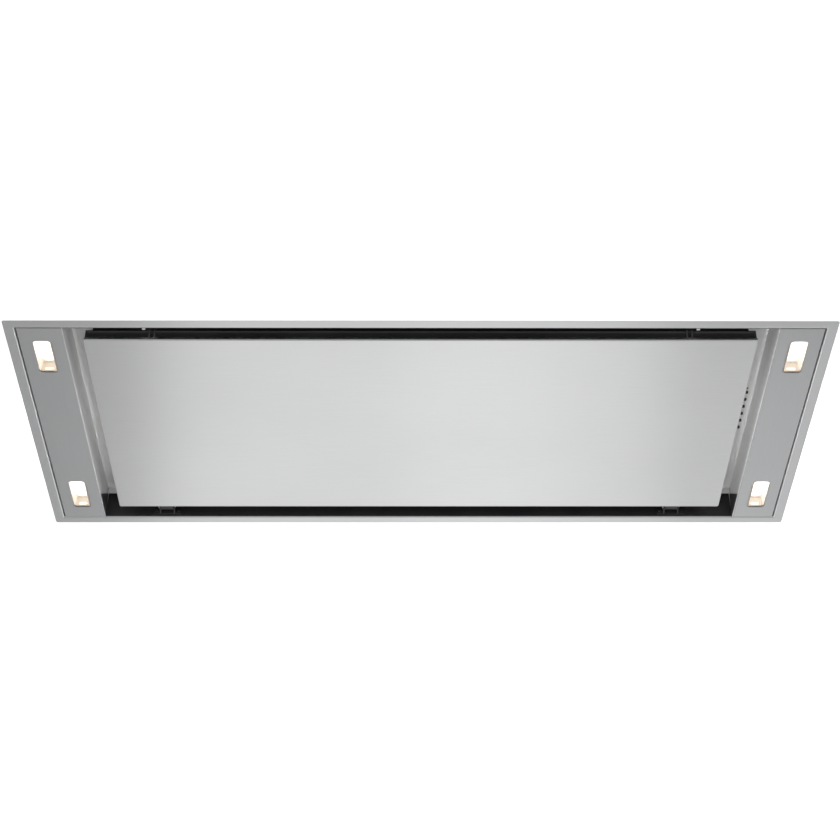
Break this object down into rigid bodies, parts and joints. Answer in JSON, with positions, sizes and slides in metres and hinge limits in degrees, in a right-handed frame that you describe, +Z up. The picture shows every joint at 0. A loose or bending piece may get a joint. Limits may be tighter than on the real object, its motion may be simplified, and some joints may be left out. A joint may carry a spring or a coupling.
{
  "type": "ceiling range hood",
  "caption": "Flush ceiling range hood: stainless border, hinged perimeter-suction panel, lit side strips, push buttons, grease filters and a top-outlet blower.",
  "frame": {"origin": "centre of the visible underside: the face of the border and of the closed panel, midway along and across the hood", "axes": "+X along the hood's length, +Y across it towards the panel's hinges, +Z up into the ceiling"},
  "size_m": [1.2, 0.5, 0.3053],
  "materials": {
    "stainless_border": "brushed along X",
    "stainless_panel": "fine brush along X",
    "stainless_cover": "brushed",
    "stainless_channel": "brushed along Y",
    "black_steel": "satin black",
    "bare_steel": "bare spring steel",
    "galvanised_casing": "galvanised, faint spangle",
    "filter_aluminium": "satin",
    "lamp_glass": "clear, faintly frosted",
    "lamp_reflector": "bright reflector",
    "catch_magnet": "sintered ferrite between steel poles",
    "indicator_lens": "dark red lens",
    "black_plastic": "fine grain",
    "grey_plastic": "moulded"
  },
  "bodies": {
    "root": {"ceiling_frame": "stainless_border", "body_shell": "galvanised_casing", "blower_box": "galvanised_casing", "recess_liner_near": "black_steel", "recess_liner_far": "black_steel", "channel_liner_left": "stainless_channel", "channel_liner_right": "stainless_channel", "light_cover_left": "stainless_cover", "light_cover_right": "stainless_cover", "lamp_glass_near_left": "lamp_glass", "lamp_glass_far_left": "lamp_glass", "lamp_glass_near_right": "lamp_glass", "lamp_glass_far_right": "lamp_glass", "lamp_housing_near_left": "lamp_reflector", "lamp_housing_far_left": "lamp_reflector", "lamp_housing_near_right": "lamp_reflector", "lamp_housing_far_right": "lamp_reflector", "hinge_bracket_left": "black_steel", "hinge_bracket_right": "black_steel", "hinge_pin_left": "bare_steel", "hinge_pin_right": "bare_steel", "catch_bracket_left": "bare_steel", "catch_bracket_right": "bare_steel", "catch_magnet_left": "catch_magnet", "catch_magnet_right": "catch_magnet", "filter_deck": "black_steel", "grease_filter_1": "filter_aluminium", "grease_filter_2": "filter_aluminium", "grease_filter_3": "filter_aluminium", "indicator_lens": "indicator_lens", "control_module": "grey_plastic", "duct_collar": "galvanised_casing", "damper_pin": "bare_steel", "scroll_housing_left": "galvanised_casing", "scroll_housing_right": "galvanised_casing", "motor_body": "filter_aluminium", "motor_bracket": "galvanised_casing", "hanging_rail_left": "galvanised_casing", "hanging_rail_right": "galvanised_casing", "terminal_box": "grey_plastic", "cable_gland": "black_plastic", "lamp_driver": "grey_plastic"},
    "panel": {"suction_panel": "stainless_panel", "panel_back": "black_steel", "hinge_arm_left": "black_steel", "hinge_arm_right": "black_steel"},
    "wheel": {"impeller": "galvanised_casing", "motor_shaft": "bare_steel"},
    "near_flap": {"damper_flap_near": "galvanised_casing"},
    "far_flap": {"damper_flap_far": "galvanised_casing"},
    "latch_1": {"filter_latch_1": "black_plastic"},
    "latch_2": {"filter_latch_2": "black_plastic"},
    "latch_3": {"filter_latch_3": "black_plastic"},
    "key_1": {"button_1": "black_plastic"},
    "key_2": {"button_2": "black_plastic"},
    "key_3": {"button_3": "black_plastic"},
    "key_4": {"button_4": "black_plastic"},
    "key_5": {"button_5": "black_plastic"},
    "key_6": {"button_6": "black_plastic"}
  },
  "joints": [
    {"name": "panel_open", "type": "hinge", "parent": "root", "child": "panel", "pos_m": [0, 0.221, 0.014], "axis": [1, 0, 0], "range_deg": [0, 90]},
    {"name": "wheel_spin", "type": "hinge", "parent": "root", "child": "wheel", "pos_m": [0, -0.06433, 0.16731], "axis": [1, 0, 0], "continuous": true},
    {"name": "near_flap_open", "type": "hinge", "parent": "root", "child": "near_flap", "pos_m": [0, 0, 0.2763], "axis": [-1, 0, 0], "range_deg": [0, 75]},
    {"name": "far_flap_open", "type": "hinge", "parent": "root", "child": "far_flap", "pos_m": [0, 0, 0.2763], "axis": [1, 0, 0], "range_deg": [0, 75]},
    {"name": "latch_1_slide", "type": "slide", "parent": "root", "child": "latch_1", "axis": [0, 1, 0], "range_m": [0, 0.006], "stiffness_N_per_m": 300, "springref_m": -0.004},
    {"name": "latch_2_slide", "type": "slide", "parent": "root", "child": "latch_2", "axis": [0, 1, 0], "range_m": [0, 0.006], "stiffness_N_per_m": 300, "springref_m": -0.004},
    {"name": "latch_3_slide", "type": "slide", "parent": "root", "child": "latch_3", "axis": [0, 1, 0], "range_m": [0, 0.006], "stiffness_N_per_m": 300, "springref_m": -0.004},
    {"name": "key_1_press", "type": "slide", "parent": "root", "child": "key_1", "axis": [0, 0, 1], "range_m": [0, 0.0012], "stiffness_N_per_m": 600, "springref_m": -0.001},
    {"name": "key_2_press", "type": "slide", "parent": "root", "child": "key_2", "axis": [0, 0, 1], "range_m": [0, 0.0012], "stiffness_N_per_m": 600, "springref_m": -0.001},
    {"name": "key_3_press", "type": "slide", "parent": "root", "child": "key_3", "axis": [0, 0, 1], "range_m": [0, 0.0012], "stiffness_N_per_m": 600, "springref_m": -0.001},
    {"name": "key_4_press", "type": "slide", "parent": "root", "child": "key_4", "axis": [0, 0, 1], "range_m": [0, 0.0012], "stiffness_N_per_m": 600, "springref_m": -0.001},
    {"name": "key_5_press", "type": "slide", "parent": "root", "child": "key_5", "axis": [0, 0, 1], "range_m": [0, 0.0012], "stiffness_N_per_m": 600, "springref_m": -0.001},
    {"name": "key_6_press", "type": "slide", "parent": "root", "child": "key_6", "axis": [0, 0, 1], "range_m": [0, 0.0012], "stiffness_N_per_m": 600, "springref_m": -0.001}
  ]
}
